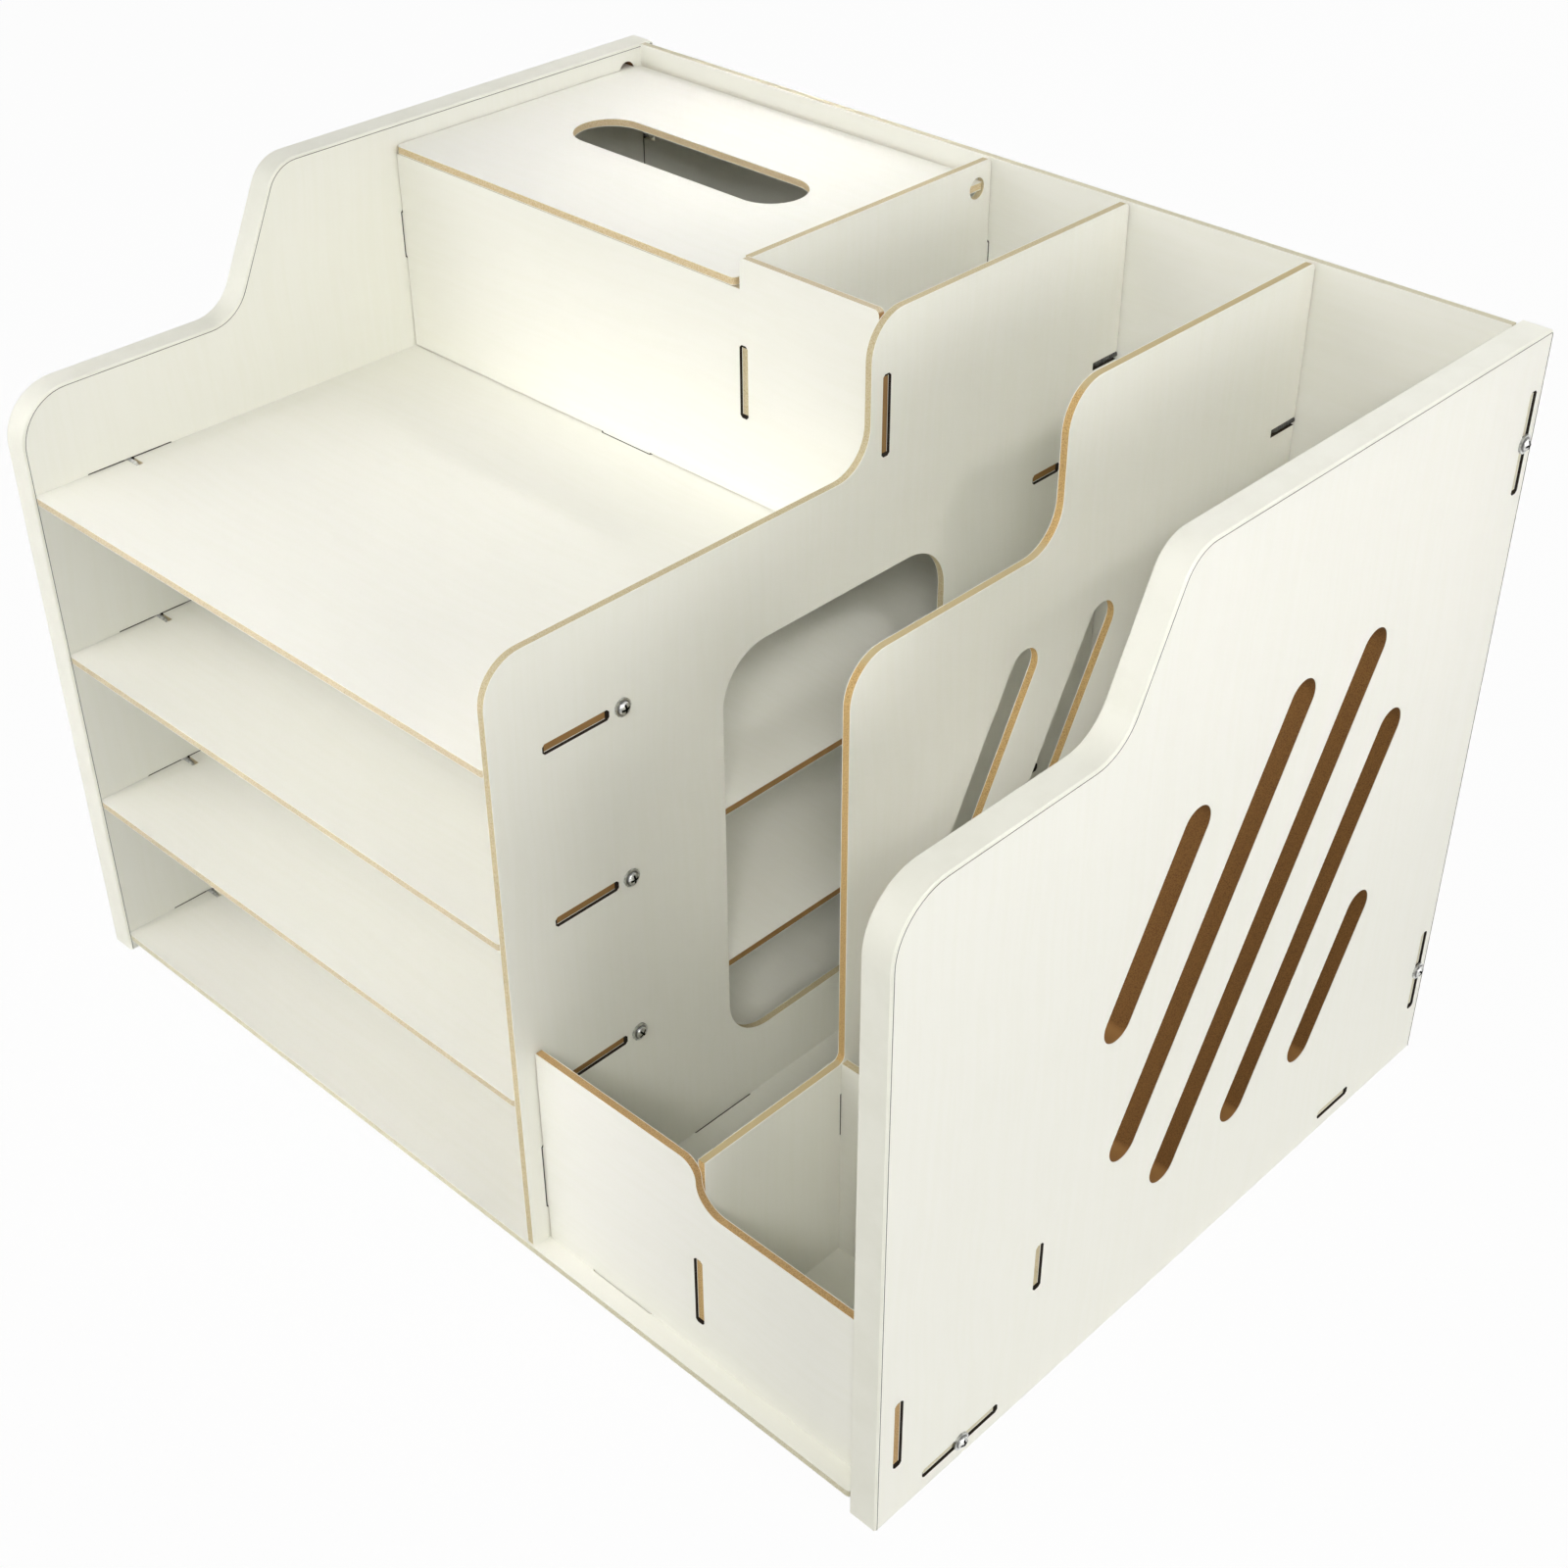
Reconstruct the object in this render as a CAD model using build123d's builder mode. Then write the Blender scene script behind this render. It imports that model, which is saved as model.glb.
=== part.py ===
"""Flat-pack desk organizer: thin laminated boards tabbed and screwed between two thick side panels.

Millimetres, +X to the right, +Y to the back, +Z up.  The origin is on the floor, at the middle of
the footprint.  Every board is one cut outline, drawn flat and given its thickness, and the boards
hold each other by tabs that pass through narrow mortises.  Screws pull the main joints
together: each runs through one board and bites in a slot cut into the edge of the next.
"""
import os
from math import copysign, radians, sin, tan

from build123d import *

os.makedirs("parts", exist_ok=True)

# Boards
side_thickness = 11.0
board = 3.0
edge_band = 1.0
edge_bevel = 0.6
board_corner = 2.0

# Compartments, clear sizes between boards
depth = 310.0
paper_bay_width = 246.5
file_slot_width = 73.5
right_slot_width = 72.0
bay_height = 64.0
tissue_box_width = 184.0
tissue_box_depth = 125.5
tissue_box_height = 90.4
pen_box_depth = 62.5
pen_box_height = 85.6
pen_front_drop = 17.8

# Insets from the edges of the side panels
base_lift = 5.6
front_inset = 0.5
back_inset = 4.5
pen_box_setback = 8.0

# Stepped tops of the upright boards
shoulder_rise = 37.4
side_step_setback = 93.6
side_step_run = 25.8
side_front_radius = 21.0
side_foot_radius = 18.0
side_head_radius = 15.0
center_step_lead = 6.0
file_step_lead = 2.0
divider_radius = 15.5
strip_radius = 3.0
pen_head_radius = 7.0
pen_foot_radius = 10.5

# Slanted slots of the right side panel and the file divider
slot_width = 14.0
slot_slant = 62.0
slot_pitch = 40.0
slot_setback = 83.4
side_slot_low_shares = (0.452, 0.263, 0.170, 0.170, 0.172)
side_slot_high_shares = (0.685, 0.753, 0.753, 0.622, 0.370)
slot_level_share = 0.333
file_slot_shift = 16.5
file_slot_low_share = 0.330
file_slot_high_share = 0.714
file_slot_count = 2

# Window in the center divider
window_setback = 98.0
window_length = 111.0
window_rise = 29.5
window_top_gap = 1.9
window_radius = 20.0

# Lid of the tissue box
lid_drop = 8.0
lid_rest_gap = 0.3
lid_left_gap = 0.5
lid_right_gap = 2.5
lid_rear_gap = 2.0
lid_slot_length = 114.5
lid_slot_width = 28.3
hinge_inset = 8.0
hinge_hole_diameter = 8.2
trunnion_width = 6.5

# Tabs and mortises
mortise_clearance = 0.9
joint_gap = 0.5
mortise_bevel = 0.94
tab_end_gap = 1.2
tab_recess = 0.8
screw_joint = 37.0
long_tab = 30.0
shelf_tab = 27.5
short_tab = 20.0
small_tab = 15.5
screw_joint_setback = 40.5
shelf_tab_setback = 35.0
shelf_screw_setback = 54.2
side_rear_tab_share = 0.821
shelf_rear_tab_share = 0.853
base_tab_shares = (0.30, 0.80)
back_joint_shares = (0.137, 0.873)
back_tab_shares = (0.20, 0.63)
back_screw_share = 0.807
tissue_left_tab_share = 0.59
tissue_right_tab_share = 0.60
tissue_divider_tab_share = 0.50
pen_tab_share = 0.34
pen_rear_left_tab_share = 0.74
pen_rear_right_tab_share = 0.60

# Screws
screw_length = 17.0
screw_diameter = 2.8
screw_tip = 2.5
screw_point = 0.5
shank_sides = 8
screw_fit = 0.2
screw_room = 4.6
screw_end_gap = 0.5
head_diameter = 6.6
head_flat = 4.4
head_height = 2.2
head_sides = 24
recess_length = 3.6
recess_width = 0.9
recess_depth = 1.2

# Every cut runs this far past the material it leaves
overrun = 1.0

# Places across the width, from the left
width = 2 * side_thickness + 2 * board + paper_bay_width + file_slot_width + right_slot_width
left_out = -width / 2
left_in = left_out + side_thickness
right_out = width / 2
right_in = right_out - side_thickness
tissue_left = left_in + tissue_box_width
tissue_right = tissue_left + board
center_left = left_in + paper_bay_width
center_right = center_left + board
file_left = center_right + file_slot_width
file_right = file_left + board
bay_middle = (left_in + center_left) / 2
file_slot_middle = (center_right + file_left) / 2
right_slot_middle = (file_right + right_in) / 2

# Places along the depth, from the front
front = -depth / 2
rear = depth / 2
board_front = front + front_inset
base_rear = rear - front_inset
back_rear = rear - back_inset
back_front = back_rear - board
divider_rear = back_front - joint_gap
tissue_rear = back_front - tissue_box_depth
tissue_front_face = tissue_rear - board
pen_front_face = front + pen_box_setback
pen_front_rear = pen_front_face + board
pen_rear_face = pen_front_rear + pen_box_depth
file_front = pen_rear_face + board / 2
hinge_y = back_front - hinge_inset
screw_joint_y = front + screw_joint_setback
shelf_tab_y = front + shelf_tab_setback
shelf_screw_y = front + shelf_screw_setback
side_rear_tab_y = front + depth * side_rear_tab_share
shelf_rear_tab_y = front + depth * shelf_rear_tab_share
base_tab_ys = [front + depth * share for share in base_tab_shares]

# Levels above the floor
base_top = base_lift + board
shelf_pitch = bay_height + board
shelf_tops = {
    "lower_shelf": base_top + shelf_pitch,
    "middle_shelf": base_top + 2 * shelf_pitch,
    "top_shelf": base_top + 3 * shelf_pitch,
}
deck = shelf_tops["top_shelf"]
height = deck + tissue_box_height
shoulder = deck + shoulder_rise
lid_top = height - lid_drop
lid_bottom = lid_top - board
hinge_z = (lid_top + lid_bottom) / 2
tissue_front_top = lid_bottom - lid_rest_gap
pen_top = base_top + pen_box_height
pen_low_top = pen_top - pen_front_drop
window_low = base_top + window_rise
window_high = deck - board - window_top_gap
back_joint_zs = [height * share for share in back_joint_shares]
back_tab_zs = [height * share for share in back_tab_shares]
back_screw_z = height * back_screw_share
tissue_left_tab_z = deck + (tissue_front_top - deck) * tissue_left_tab_share
tissue_right_tab_z = deck + tissue_box_height * tissue_right_tab_share
tissue_divider_tab_z = deck + tissue_box_height * tissue_divider_tab_share
pen_tab_z = base_top + pen_box_height * pen_tab_share
pen_rear_left_tab_z = base_top + pen_box_height * pen_rear_left_tab_share
pen_rear_right_tab_z = base_top + pen_box_height * pen_rear_right_tab_share
level_boards = [base_top] + list(shelf_tops.values())
level_middles = [top - board / 2 for top in level_boards]
shelf_middles = level_middles[1:]

# Middles of the upright boards' thickness
back_middle = (back_front + back_rear) / 2
tissue_front_middle = (tissue_front_face + tissue_rear) / 2
tissue_divider_middle = (tissue_left + tissue_right) / 2
tissue_box_middle = (tissue_rear + back_front) / 2
center_middle = (center_left + center_right) / 2
file_middle = (file_left + file_right) / 2
pen_front_middle = pen_front_face + board / 2
pen_rear_middle = pen_rear_face + board / 2

# How far tabs reach, and the slots that they and the screws need
mortise_width = board + mortise_clearance
board_reach = board - tab_recess
side_reach = side_thickness - tab_recess
screw_slot = screw_diameter + screw_fit
side_bite = screw_length - side_thickness + screw_end_gap
board_bite = screw_length - board + screw_end_gap
quarter_turn = 90


def cross_plane(y):
    """Plane of a board that stands across the organizer with its front face at y."""
    return Plane(origin=(0, y, 0), x_dir=(1, 0, 0), z_dir=(0, -1, 0))


def plate(x0, y0, x1, y1, mode=Mode.ADD):
    """Rectangle between two opposite corners, in the open sketch."""
    with Locations(((x0 + x1) / 2, (y0 + y1) / 2)):
        Rectangle(abs(x1 - x0), abs(y1 - y0), mode=mode)


def outline(*points):
    """Closed straight-sided face through the points, in the open sketch."""
    with BuildLine() as edge_line:
        Polyline(*points, close=True)
    make_face(edge_line.edges())


def round_corner(sketch, point, radius):
    """Round the corner of the open sketch that lies at the point."""
    fillet(sketch.vertices().sort_by_distance(point)[0], radius)


def mortise(x, y, length, upright=False):
    """Opening with eased ends for one tab, or for two tabs with a screw between them."""
    end, side = length / 2, mortise_width / 2
    corners = [(end, side - mortise_bevel), (end - mortise_bevel, side)]
    upper = corners + [(-across, up) for across, up in reversed(corners)]
    lower = [(-across, -up) for across, up in upper]
    with Locations((x, y)):
        Polygon(*upper, *lower, rotation=quarter_turn if upright else 0, mode=Mode.SUBTRACT)


def tabs(edge, reach, center, length, screwed=False):
    """Tab on a left or right edge, split in two round a screw where the joint has one."""
    half = length / 2 - tab_end_gap
    spans = [(-half, -screw_room / 2), (screw_room / 2, half)] if screwed else [(-half, half)]
    root = edge - copysign(board, reach)
    for low, high in spans:
        plate(root, center + low, edge + reach, center + high)


def end_tab(edge, reach, center, length):
    """Tab on a top or bottom edge of the open sketch."""
    half = length / 2 - tab_end_gap
    plate(center - half, edge - copysign(board, reach), center + half, edge + reach)


def screw_cut(edge, bite, center):
    """Slot that a screw bites in, cut into a left or right edge; bite points into the board."""
    outside = edge - copysign(overrun, bite)
    plate(outside, center - screw_slot / 2, edge + bite, center + screw_slot / 2, Mode.SUBTRACT)


def round_hole(x, y, diameter):
    """Round hole in the open sketch."""
    with Locations((x, y)):
        Circle(diameter / 2, mode=Mode.SUBTRACT)


def slanted_slot(crossing, low, high):
    """Round-ended slot between two levels, whose line crosses the slot level at the given place."""
    middle = (low + high) / 2
    lean = (middle - height * slot_level_share) / tan(radians(slot_slant))
    with Locations((crossing + lean, middle)):
        SlotOverall((high - low) / sin(radians(slot_slant)), slot_width, rotation=slot_slant, mode=Mode.SUBTRACT)


def side_outline(sketch, bottom):
    """Outline of a side panel, from its bottom edge up over the stepped top."""
    step_foot = (front + side_step_setback, shoulder)
    step_head = (front + side_step_setback + side_step_run, height)
    shoulder_end = (front, shoulder)
    rear_top = (rear, height)
    outline((front, bottom), (rear, bottom), rear_top, step_head, step_foot, shoulder_end)
    round_corner(sketch, shoulder_end, side_front_radius)
    round_corner(sketch, step_foot, side_foot_radius)
    round_corner(sketch, step_head, side_head_radius)
    round_corner(sketch, rear_top, board_corner)


def side_core(sketch):
    """Face of a side panel inside its edge band; the band leaves the bottom edge bare."""
    side_outline(sketch, -edge_band)
    offset(amount=-edge_band)


def level_mortises(levels):
    """Mortises in a side panel for boards that lie at the given levels."""
    for level in levels:
        mortise(screw_joint_y, level, screw_joint)
        mortise(side_rear_tab_y, level, short_tab)


def back_mortises():
    """Mortises in a side panel for the back panel."""
    for level in back_joint_zs:
        mortise(back_middle, level, screw_joint, upright=True)


# Left side panel: carries the shelves, the back, the tissue box and one end of the lid's hinge
with BuildPart() as left_side_panel:
    with BuildSketch(Plane.YZ.offset(left_out)) as left_face:
        side_core(left_face)
        level_mortises(level_middles)
        back_mortises()
        mortise(tissue_front_middle, tissue_left_tab_z, short_tab, upright=True)
        round_hole(hinge_y, hinge_z, hinge_hole_diameter)
    extrude(amount=side_thickness)

# Right side panel: the same outline, with the five slanted slots and the pen box's mortises
with BuildPart() as right_side_panel:
    with BuildSketch(Plane.YZ.offset(right_in)) as right_face:
        side_core(right_face)
        level_mortises(level_middles[:1])
        back_mortises()
        mortise(pen_front_middle, pen_tab_z, long_tab, upright=True)
        mortise(pen_rear_middle, pen_rear_right_tab_z, short_tab, upright=True)
        for index, (low_share, high_share) in enumerate(zip(side_slot_low_shares, side_slot_high_shares)):
            crossing = front + slot_setback + index * slot_pitch
            slanted_slot(crossing, height * low_share, height * high_share)
    extrude(amount=side_thickness)


def edge_band_part(x):
    """Band glued round the front, top and rear edges of the side panel whose left face is at x."""
    with BuildPart() as band:
        with BuildSketch(Plane.YZ.offset(x)) as outer_face:
            side_outline(outer_face, 0)
        extrude(amount=side_thickness)
        bottom_edges = band.faces().sort_by(Axis.Z)[0].edges()
        chamfer(band.faces().filter_by(Axis.X).edges() - bottom_edges, edge_bevel)
        with BuildSketch(Plane.YZ.offset(x)) as core_face:
            side_core(core_face)
        extrude(amount=side_thickness, mode=Mode.SUBTRACT)
    return band.part


# Back panel: stands on the base between the sides
with BuildPart() as back_panel:
    with BuildSketch(cross_plane(back_front)):
        plate(left_in, base_top, right_in, height)
        for level in back_joint_zs:
            tabs(left_in, -side_reach, level, screw_joint, screwed=True)
            tabs(right_in, side_reach, level, screw_joint, screwed=True)
            screw_cut(left_in, side_bite, level)
            screw_cut(right_in, -side_bite, level)
        end_tab(base_top, -board_reach, bay_middle, long_tab)
        end_tab(base_top, -board_reach, right_slot_middle, long_tab)
        for level in shelf_middles:
            mortise(bay_middle, level, long_tab)
        for divider in (center_middle, file_middle):
            round_hole(divider, back_screw_z, screw_slot)
            for level in back_tab_zs:
                mortise(divider, level, long_tab, upright=True)
        mortise(tissue_divider_middle, tissue_divider_tab_z, shelf_tab, upright=True)
    extrude(amount=-board)

# Base panel: the floor of every lower compartment
with BuildPart() as base_panel:
    with BuildSketch(Plane.XY.offset(base_lift)) as base_face:
        plate(left_in, board_front, right_in, base_rear)
        for corner_x in (left_in, right_in):
            round_corner(base_face, (corner_x, board_front), board_corner)
        for edge, outward in ((left_in, -1), (right_in, 1)):
            tabs(edge, outward * side_reach, screw_joint_y, screw_joint, screwed=True)
            tabs(edge, outward * side_reach, side_rear_tab_y, short_tab)
            screw_cut(edge, -outward * side_bite, screw_joint_y)
        for divider in (center_middle, file_middle):
            for place in base_tab_ys:
                mortise(divider, place, long_tab, upright=True)
        mortise(file_slot_middle, pen_front_middle, long_tab)
        mortise(right_slot_middle, pen_rear_middle, long_tab)
        mortise(bay_middle, back_middle, long_tab)
        mortise(right_slot_middle, back_middle, long_tab)
    extrude(amount=board)

# Three shelves of the paper bays; the top one is also the deck under the tissue box
shelves = {}
for shelf_name, shelf_top in shelf_tops.items():
    with BuildPart() as shelf:
        with BuildSketch(Plane.XY.offset(shelf_top - board)) as shelf_face:
            plate(left_in, board_front, center_left, back_front)
            for corner_x in (left_in, center_left):
                round_corner(shelf_face, (corner_x, board_front), board_corner)
            tabs(left_in, -side_reach, screw_joint_y, screw_joint, screwed=True)
            tabs(left_in, -side_reach, side_rear_tab_y, short_tab)
            tabs(center_left, board_reach, shelf_tab_y, shelf_tab)
            tabs(center_left, board_reach, shelf_rear_tab_y, small_tab)
            end_tab(back_front, board_reach, bay_middle, long_tab)
            screw_cut(left_in, side_bite, screw_joint_y)
            screw_cut(center_left, -board_bite, shelf_screw_y)
            if shelf_top == deck:
                mortise(bay_middle, tissue_front_middle, shelf_tab)
                mortise(tissue_divider_middle, tissue_box_middle, shelf_tab, upright=True)
        extrude(amount=board)
    shelves[shelf_name] = shelf.part

# Center divider: right wall of the paper bays, with a window and a stepped top
center_step = tissue_front_face - center_step_lead
with BuildPart() as center_divider:
    with BuildSketch(Plane.YZ.offset(center_left)) as center_face:
        center_bottom = (board_front, base_top)
        center_nose = (board_front, shoulder)
        center_foot = (center_step, shoulder)
        center_head = (center_step, height)
        center_rear = (divider_rear, height)
        outline(center_bottom, (divider_rear, base_top), center_rear, center_head, center_foot, center_nose)
        for point in (center_nose, center_foot, center_head):
            round_corner(center_face, point, divider_radius)
        for point in (center_bottom, center_rear):
            round_corner(center_face, point, board_corner)
        with Locations((front + window_setback + window_length / 2, (window_low + window_high) / 2)):
            RectangleRounded(window_length, window_high - window_low, window_radius, mode=Mode.SUBTRACT)
        for level in shelf_middles:
            mortise(shelf_tab_y, level, shelf_tab)
            mortise(shelf_rear_tab_y, level, small_tab)
            round_hole(shelf_screw_y, level, screw_slot)
        mortise(tissue_front_middle, tissue_right_tab_z, long_tab, upright=True)
        mortise(pen_front_middle, pen_tab_z, long_tab, upright=True)
        for place in base_tab_ys:
            end_tab(base_top, -board_reach, place, long_tab)
        for level in back_tab_zs:
            tabs(back_front, board_reach, level, long_tab)
        screw_cut(back_front, -board_bite, back_screw_z)
    extrude(amount=board)

# File divider: tall between the two file slots, low beside the pen box
file_step = tissue_front_face - file_step_lead
with BuildPart() as file_divider:
    with BuildSketch(Plane.YZ.offset(file_left)) as file_face:
        strip_end = (pen_front_rear, pen_top)
        strip_foot = (file_front, pen_top)
        file_nose = (file_front, shoulder)
        file_foot = (file_step, shoulder)
        file_head = (file_step, height)
        file_rear = (divider_rear, height)
        outline(
            (pen_front_rear, base_top), (divider_rear, base_top), file_rear, file_head,
            file_foot, file_nose, strip_foot, strip_end,
        )
        for point in (file_nose, file_foot, file_head):
            round_corner(file_face, point, divider_radius)
        round_corner(file_face, strip_foot, strip_radius)
        round_corner(file_face, file_rear, board_corner)
        for index in range(file_slot_count):
            crossing = front + slot_setback + file_slot_shift + index * slot_pitch
            slanted_slot(crossing, height * file_slot_low_share, height * file_slot_high_share)
        mortise(pen_rear_middle, pen_rear_left_tab_z, short_tab, upright=True)
        tabs(pen_front_rear, -board_reach, pen_tab_z, long_tab)
        for place in base_tab_ys:
            end_tab(base_top, -board_reach, place, long_tab)
        for level in back_tab_zs:
            tabs(back_front, board_reach, level, long_tab)
        screw_cut(back_front, -board_bite, back_screw_z)
    extrude(amount=board)

# Front of the tissue box: low under the lid, full height in front of the pen slot
with BuildPart() as tissue_front:
    with BuildSketch(cross_plane(tissue_front_face)) as tissue_face:
        foot, left_end = deck + joint_gap, left_in + joint_gap
        raised_left = (tissue_left, height)
        raised_right = (center_left, height)
        outline(
            (left_end, foot), (center_left, foot), raised_right, raised_left,
            (tissue_left, tissue_front_top), (left_end, tissue_front_top),
        )
        for point in (raised_left, raised_right):
            round_corner(tissue_face, point, board_corner)
        mortise(tissue_divider_middle, tissue_divider_tab_z, shelf_tab, upright=True)
        tabs(left_in, -side_reach, tissue_left_tab_z, short_tab)
        tabs(center_left, board_reach, tissue_right_tab_z, long_tab)
        end_tab(deck, -board_reach, bay_middle, shelf_tab)
    extrude(amount=-board)

# Divider between the tissue box and the pen slot, with the other end of the lid's hinge
with BuildPart() as tissue_divider:
    with BuildSketch(Plane.YZ.offset(tissue_left)) as tissue_divider_face:
        plate(tissue_rear, deck, divider_rear, height)
        round_corner(tissue_divider_face, (divider_rear, height), board_corner)
        tabs(tissue_rear, -board_reach, tissue_divider_tab_z, shelf_tab)
        tabs(back_front, board_reach, tissue_divider_tab_z, shelf_tab)
        end_tab(deck, -board_reach, tissue_box_middle, shelf_tab)
        round_hole(hinge_y, hinge_z, hinge_hole_diameter)
    extrude(amount=board)

# Lid of the tissue box: two flat trunnions turn in the round holes beside it
with BuildPart() as tissue_lid:
    with BuildSketch(Plane.XY.offset(lid_bottom)) as lid_face:
        lid_left = left_in + lid_left_gap
        lid_right = tissue_left - lid_right_gap
        lid_rear = back_front - lid_rear_gap
        plate(lid_left, tissue_front_face, lid_right, lid_rear)
        for corner_x in (lid_left, lid_right):
            round_corner(lid_face, (corner_x, tissue_front_face), board_corner)
        plate(
            left_out + tab_recess, hinge_y - trunnion_width / 2,
            tissue_right - tab_recess, hinge_y + trunnion_width / 2,
        )
        with Locations(((left_in + tissue_left) / 2, tissue_box_middle)):
            SlotOverall(lid_slot_length, lid_slot_width, mode=Mode.SUBTRACT)
    extrude(amount=board)

# Front of the pen box: its top steps down where the file divider meets it
with BuildPart() as pen_box_front:
    with BuildSketch(cross_plane(pen_front_face)) as pen_face:
        pen_left = center_right + joint_gap
        pen_head = (file_middle, pen_top)
        pen_foot = (file_middle, pen_low_top)
        outline(
            (pen_left, base_top), (right_in, base_top), (right_in, pen_low_top),
            pen_foot, pen_head, (pen_left, pen_top),
        )
        round_corner(pen_face, pen_head, pen_head_radius)
        round_corner(pen_face, pen_foot, pen_foot_radius)
        mortise(file_middle, pen_tab_z, long_tab, upright=True)
        tabs(center_right, -board_reach, pen_tab_z, long_tab)
        tabs(right_in, side_reach, pen_tab_z, long_tab)
        end_tab(base_top, -board_reach, file_slot_middle, long_tab)
    extrude(amount=-board)

# Rear of the pen box: closes it off from the right file slot
with BuildPart() as pen_box_rear:
    with BuildSketch(cross_plane(pen_rear_face)):
        plate(file_right, base_top, right_in - joint_gap, pen_top)
        tabs(file_right, -board_reach, pen_rear_left_tab_z, short_tab)
        tabs(right_in, side_reach, pen_rear_right_tab_z, short_tab)
        end_tab(base_top, -board_reach, right_slot_middle, long_tab)
    extrude(amount=-board)

# One pan-head screw with a cross recess, its head seated on the plane z = 0
shank_end = screw_tip - screw_length
with BuildPart() as screw:
    for low, high, low_width, high_width, sides in (
        (0, head_height, head_diameter, head_flat, head_sides),
        (shank_end, 0, screw_diameter, screw_diameter, shank_sides),
        (-screw_length, shank_end, screw_point, screw_diameter, shank_sides),
    ):
        with BuildSketch(Plane.XY.offset(low)) as lower_end:
            RegularPolygon(low_width / 2, sides)
        with BuildSketch(Plane.XY.offset(high)) as upper_end:
            RegularPolygon(high_width / 2, sides)
        loft([lower_end.sketch, upper_end.sketch], ruled=True)
    with Locations((0, 0, head_height)):
        Box(recess_length, recess_width, 2 * recess_depth, mode=Mode.SUBTRACT)
        Box(recess_width, recess_length, 2 * recess_depth, mode=Mode.SUBTRACT)


def screw_group(places):
    """Identical screws, each seated on one of the planes with its head along the plane's normal."""
    with BuildPart() as group:
        with Locations(*places):
            add(screw.part)
    return group.part


def left_seat(y, z):
    """Seat of a screw driven through the left side panel."""
    return Plane(origin=(left_out, y, z), x_dir=(0, 1, 0), z_dir=(-1, 0, 0))


def right_seat(x, y, z):
    """Seat of a screw driven leftwards through a board whose right face is at x."""
    return Plane(origin=(x, y, z), x_dir=(0, 1, 0), z_dir=(1, 0, 0))


def rear_seat(x, z):
    """Seat of a screw driven forwards through the back panel."""
    return Plane(origin=(x, back_rear, z), x_dir=(1, 0, 0), z_dir=(0, 1, 0))


screw_groups = {
    "left_shelf_screws": [left_seat(screw_joint_y, level) for level in level_middles],
    "left_back_screws": [left_seat(back_middle, level) for level in back_joint_zs],
    "right_base_screw": [right_seat(right_out, screw_joint_y, level_middles[0])],
    "right_back_screws": [right_seat(right_out, back_middle, level) for level in back_joint_zs],
    "center_shelf_screws": [right_seat(center_right, shelf_screw_y, level) for level in shelf_middles],
    "rear_divider_screws": [rear_seat(divider, back_screw_z) for divider in (center_middle, file_middle)],
}

pieces = {
    "left_side_panel": left_side_panel.part,
    "right_side_panel": right_side_panel.part,
    "left_edge_band": edge_band_part(left_out),
    "right_edge_band": edge_band_part(right_in),
    "back_panel": back_panel.part,
    "base_panel": base_panel.part,
    "center_divider": center_divider.part,
    "file_divider": file_divider.part,
    "tissue_front": tissue_front.part,
    "tissue_divider": tissue_divider.part,
    "tissue_lid": tissue_lid.part,
    "pen_box_front": pen_box_front.part,
    "pen_box_rear": pen_box_rear.part,
}
pieces.update(shelves)
pieces.update({name: screw_group(places) for name, places in screw_groups.items()})

for name, piece in pieces.items():
    piece.label = name
    export_step(piece, f"parts/{name}.step")
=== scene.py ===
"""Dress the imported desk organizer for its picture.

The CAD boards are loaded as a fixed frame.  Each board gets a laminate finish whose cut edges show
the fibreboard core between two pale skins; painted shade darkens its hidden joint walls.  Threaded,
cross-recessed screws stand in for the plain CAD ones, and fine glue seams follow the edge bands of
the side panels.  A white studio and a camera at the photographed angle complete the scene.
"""
import logging
import math
import random
from dataclasses import dataclass, field
from enum import Enum
from typing import Any, Callable, Mapping, Optional, Union

import bpy
from mathutils import Euler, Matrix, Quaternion, Vector


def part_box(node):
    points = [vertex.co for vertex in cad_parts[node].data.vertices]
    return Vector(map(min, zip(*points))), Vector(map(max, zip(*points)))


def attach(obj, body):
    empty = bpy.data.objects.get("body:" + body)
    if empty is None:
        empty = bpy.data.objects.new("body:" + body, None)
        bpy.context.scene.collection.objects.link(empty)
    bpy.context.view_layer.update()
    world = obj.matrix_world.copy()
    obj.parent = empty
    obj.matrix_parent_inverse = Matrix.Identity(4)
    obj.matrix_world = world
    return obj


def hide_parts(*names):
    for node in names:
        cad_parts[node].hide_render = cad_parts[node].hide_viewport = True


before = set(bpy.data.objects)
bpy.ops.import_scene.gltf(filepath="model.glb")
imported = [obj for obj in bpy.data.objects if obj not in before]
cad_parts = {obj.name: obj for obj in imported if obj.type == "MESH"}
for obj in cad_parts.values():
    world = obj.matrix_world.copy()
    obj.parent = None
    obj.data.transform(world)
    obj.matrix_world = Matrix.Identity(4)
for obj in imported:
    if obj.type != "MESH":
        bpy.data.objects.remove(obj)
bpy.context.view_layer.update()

log = logging.getLogger("desk_organizer")

Shade = tuple[int, int, int]
Point = tuple[float, float, float]
Range = tuple[float, float]
Key = Union[int, str]

MM = 0.001
WHITE = (1.0, 1.0, 1.0, 1.0)
FULL_CHANNEL = 255.0
SRGB_KNEE, SRGB_SLOPE, SRGB_OFFSET, SRGB_POWER = 0.04045, 12.92, 0.055, 2.4


class Axis(Enum):
    """One axis of the shared frame."""

    X = 0
    Y = 1
    Z = 2


class HeadSide(Enum):
    """The way that a screw's head faces."""

    LEFT = (-1.0, 0.0, 0.0)
    RIGHT = (1.0, 0.0, 0.0)
    REAR = (0.0, 1.0, 0.0)


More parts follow.
